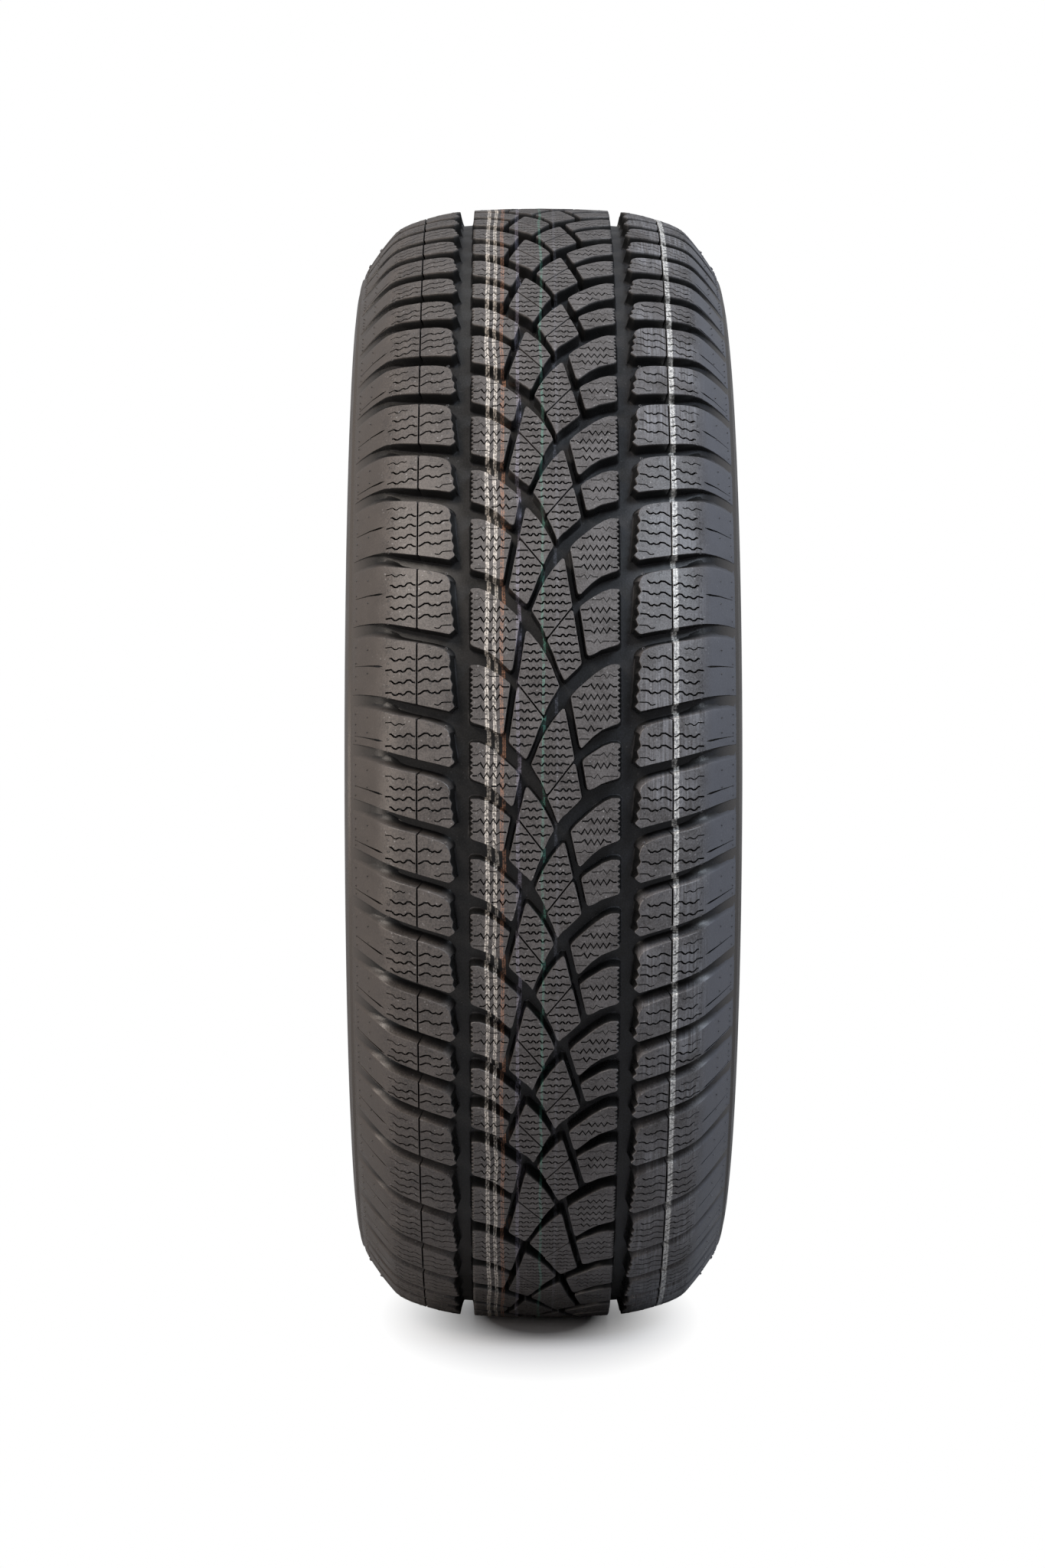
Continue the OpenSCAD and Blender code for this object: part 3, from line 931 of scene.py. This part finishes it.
def bend_points(s0, s1):
    """Points on the smooth outer half, clear of the slit, so that its top follows the crown."""
    out = []
    for w in (86, 90, 94, 97.2, 99.4):
        high, foot = s0 + read(SHOULDER_TOP, w), s1 + read(SHOULDER_LOW, w)
        slit = s0 - 12.6 + (w - 84) * 0.26
        out += [(w, s) for s in (foot + (high - foot) * t / 6 for t in range(1, 6)) if abs(s - slit) > 1.6]
    return out


for name, side, tooth in (("shoulder_left", -1, 1.0), ("shoulder_right", 1, 1.6)):
    strip = Strip()
    for i in range(COUNT):
        s0, s1 = STATIONS[i:i + 2]
        inner_cuts, outer_cuts = shoulder_cuts(i, True), shoulder_cuts(i, False)
        # the corner at the wide groove's upper end is a large round
        strip.block(shoulder_inner(i, tooth), side, lambda p: 3.6 if p.x < 53 and p.y > s0 - 9 else 0.8,
                    shoulder_flare, inner_cuts, middle=SHOULDER_MIDDLE, shade=shoulder_shade)
        strip.block(shoulder_outer(i), side, 0.5, shoulder_flare,
                    lambda loop: outer_cuts(loop) + [(edge_slit(s0), 1.6)], bend_points(s0, s1),
                    middle=SHOULDER_MIDDLE, shade=shoulder_shade)
    piece = flat_piece(name, strip.points, strip.faces, strip.sunk_shade)
    shaped(piece, ROLL, rubber=TREAD_RUBBER)
    cured(piece, sharp_from=22)


# Vents
# Air leaves the mould through small holes as the tread's rubber flows in. On the blocks they
# leave faint rings of the same rubber, and on the shoulder's edge short nubs.
def vent_tree(name, ring):
    """Puts one ring or nub at each point of a flat strip."""
    tree, entry, out = geometry_tree(name, (("Vent Radius", 0.0007), ("Vent Height", 0.0002)))
    new, link = tree.nodes.new, tree.links.new
    if ring:
        shape = new("GeometryNodeCurveToMesh")
        for label, corners, into in (("Vent Radius", 8, "Curve"), ("Vent Height", 3, "Profile Curve")):
            circle = new("GeometryNodeCurvePrimitiveCircle")
            preset(circle, {"Resolution": corners})
            link(entry.outputs[label], circle.inputs["Radius"])
            link(circle.outputs["Curve"], shape.inputs[into])
    else:
        shape = new("GeometryNodeMeshCone")
        preset(shape, {"Vertices": 6})
        link(entry.outputs["Vent Radius"], shape.inputs["Radius Bottom"])
        link(times(tree, entry.outputs["Vent Radius"], 0.7), shape.inputs["Radius Top"])
        link(entry.outputs["Vent Height"], shape.inputs["Depth"])
    lean, spin = new("GeometryNodeInputNamedAttribute"), new("ShaderNodeCombineXYZ")
    set_on = new("GeometryNodeInstanceOnPoints")
    lean.data_type = "FLOAT"
    preset(lean, {"Name": "lean"})
    link(lean.outputs["Attribute"], spin.inputs["X"])
    link(entry.outputs["Geometry"], set_on.inputs["Points"])
    link(shape.outputs["Mesh"], set_on.inputs["Instance"])
    link(spin.outputs[0], set_on.inputs["Rotation"])
    real_rubber(tree, set_on.outputs["Instances"], entry, out)
    return tree


# the vent rubber's bloom is also painted warm on the left and cool on the right
VENT_RUBBER = rubber_material("vent_rubber", (0.055, 0.052, 0.050, 1), (0.120, 0.112, 0.108, 1),
                              (0.130, 0.130, 0.144, 1), 0.2, lines=False)
rings, nubs = [], []
for i in range(COUNT):
    middle_side = -1 if i % 2 == 0 else 1
    s0, s1 = STATIONS[i:i + 2]
    levels = shoulder_levels(i)
    for side in (-1, 1):
        for a, b in zip(levels, levels[1:]):
            rings += [(side * w + SHOULDER_MIDDLE, (a + b) / 2 + d)
                      for w, d in ((51.2, 0.3), (59.4, 0.9), (70.2, 0.3), (81.6, 0.6)) if w > 52 or b < s0 - 9]
        rings.append((side * 60.5 + SHOULDER_MIDDLE, levels[0] - 1.2))
        for t, w in ((0.12, 98.9), (0.2, 92.6), (0.42, 98.9), (0.62, 92.6), (0.66, 98.9), (0.9, 98.9)):
            high, foot = s0 + read(SHOULDER_TOP, w), s1 + read(SHOULDER_LOW, w)
            nubs.append((side * w + SHOULDER_MIDDLE, high + (foot - high) * t))
    spots = [(-35.0, s0 - 17.0), (-34.6, s1 - 2.4), (-34.8, s1 - 17.4), (-34.0, STATIONS[i + 2] - 2.2),
             (-16.6, s0 - 31.0), (-23.0, s1 - 24.4), (-3.6, s0 - 48.0), (-13.2, s1 - 29.5)]
    blocks = [outer_block_long(i), outer_block_short(i), kite_block(i), heel_block(i)]
    for u, s in spots:
        # only where a block lies under the whole ring
        if any(all(a + 1 < u < b - 1 for d in (-0.9, 0.9) for a, b in span(block, s + d)[:1]) and span(block, s)
               for block in blocks):
            rings.append((middle_side * u + PATTERN_MIDDLE, s))


def vent_points(name, places, height):
    """Places of vents on the flat strip, with the lean of the crown under each."""
    points, leans = [], []
    for v, s in places:
        points.append((s, *on_crown(v, height)))
        leans.append(-math.copysign(math.atan(crown_slope(abs(v))), v))
    piece = flat_piece(name, points, [])
    piece.data.attributes.new("lean", "FLOAT", "POINT").data.foreach_set("value", leans)
    return piece


# the marks, how wide and high one is in metres, and how far it is sunk in millimetres
for name, places, ring, radius, height, base in (("vent_rings", rings, True, 0.00066, 0.00017, -0.03),
                                                 ("vent_nubs", nubs, False, 0.00042, 0.0009, -0.25)):
    piece = vent_points(name, places, base)
    shaped(piece, vent_tree(name, ring), vent_radius=radius, vent_height=height, rubber=VENT_RUBBER)
    shaped(piece, ROLL, rubber=VENT_RUBBER)
    cured(piece, sharp_from=60)


# Studio
# A white room with two soft boxes in front, a weak one low on the left and one overhead, and
# the camera square to the tread.
scene = bpy.context.scene
scene.view_settings.view_transform = "Standard"

FLOOR_HALF = 6
floor_mesh = bpy.data.meshes.new("floor")
floor_mesh.from_pydata([(x * FLOOR_HALF, y * FLOOR_HALF, -GROUND / 1000)
                        for x, y in ((-1, -1), (1, -1), (1, 1), (-1, 1))], [], [(0, 1, 2, 3)])
floor = bpy.data.objects.new("floor", floor_mesh)
scene.collection.objects.link(floor)
paper = bpy.data.materials.new("white_floor")
paper.use_nodes = True
nodes, links = paper.node_tree.nodes, paper.node_tree.links
paper_shader = nodes["Principled BSDF"]
preset(paper_shader, {"Roughness": 0.28})
# away from the tyre the paper glows plain white to the camera, so no horizon shows; the tyre
# itself gets less light back from it than from a real white floor
glow, place = nodes.new("ShaderNodeEmission"), nodes.new("ShaderNodeTexCoord")
camera_sees = nodes.new("ShaderNodeLightPath").outputs["Is Camera Ray"]
squeeze, length = nodes.new("ShaderNodeVectorMath"), nodes.new("ShaderNodeVectorMath")
squeeze.operation, length.operation = "MULTIPLY", "LENGTH"
squeeze.inputs[1].default_value = (1.0, 3.2, 0.0)
links.new(place.outputs["Object"], squeeze.inputs[0])
links.new(squeeze.outputs[0], length.inputs[0])
away = ramp(paper.node_tree, length.outputs["Value"], 0.10, 0.30)
links.new(mix(paper.node_tree, camera_sees, (0.40, 0.40, 0.41, 1), (0.93, 0.94, 0.98, 1)),
          paper_shader.inputs["Base Color"])
blend_floor = nodes.new("ShaderNodeMixShader")
links.new(times(paper.node_tree, away, camera_sees), blend_floor.inputs["Fac"])
links.new(paper_shader.outputs[0], blend_floor.inputs[1])
links.new(glow.outputs[0], blend_floor.inputs[2])
links.new(blend_floor.outputs[0], nodes["Material Output"].inputs["Surface"])
floor_mesh.materials.append(paper)

world = bpy.data.worlds.new("studio")
scene.world = world
world.use_nodes = True
nodes, links = world.node_tree.nodes, world.node_tree.links
air = nodes["Background"]
preset(air, {"Color": (0.95, 0.96, 1.0, 1), "Strength": 0.31})
seen_air = nodes.new("ShaderNodeBackground")
preset(seen_air, {"Color": (1, 1, 1, 1), "Strength": 1.0})
ray, blend_air = nodes.new("ShaderNodeLightPath"), nodes.new("ShaderNodeMixShader")
links.new(ray.outputs["Is Camera Ray"], blend_air.inputs["Fac"])
links.new(air.outputs[0], blend_air.inputs[1])
links.new(seen_air.outputs[0], blend_air.inputs[2])
links.new(blend_air.outputs[0], nodes["World Output"].inputs["Surface"])


def soft_box(name, place, aim, size, watts, colour=(1, 1, 1)):
    """A square lamp at a place, turned to what it lights."""
    lamp = bpy.data.lights.new(name, "AREA")
    lamp.shape = "RECTANGLE"
    lamp.size = lamp.size_y = size
    lamp.energy = watts
    lamp.color = colour
    holder = bpy.data.objects.new(name, lamp)
    holder.location = place
    holder.rotation_euler = (Vector(aim) - Vector(place)).to_track_quat("-Z", "Y").to_euler()
    scene.collection.objects.link(holder)


soft_box("front_left_box", (1.45, -1.05, 1.3), (0.2, 0, 0), 0.7, 22, (1.0, 0.90, 0.81))
soft_box("front_right_box", (1.4, 1.1, 1.35), (0.2, 0, 0.05), 0.7, 23, (0.80, 0.89, 1.0))
soft_box("low_left_box", (0.9, -1.4, -0.05), (0.1, 0, -0.2), 0.5, 6, (1.0, 0.88, 0.78))
soft_box("top_box", (-0.3, 0, 2.2), (0, 0, 0), 1.4, 4)

# the camera stands level, a little below the axle and left of the tyre, turned a hair to the right
DISTANCE, TURN = 2.510, 0.0034
camera = bpy.data.cameras.new("camera")
camera.sensor_fit = "AUTO"
camera.sensor_width = 36.0
camera.lens = 97.11
camera.clip_end = 50
viewer = bpy.data.objects.new("camera", camera)
viewer.location = (DISTANCE, -0.0102 - TURN * DISTANCE, -0.0123)
viewer.rotation_euler = (math.pi / 2, 0, math.pi / 2 - TURN)
scene.collection.objects.link(viewer)
scene.camera = viewer
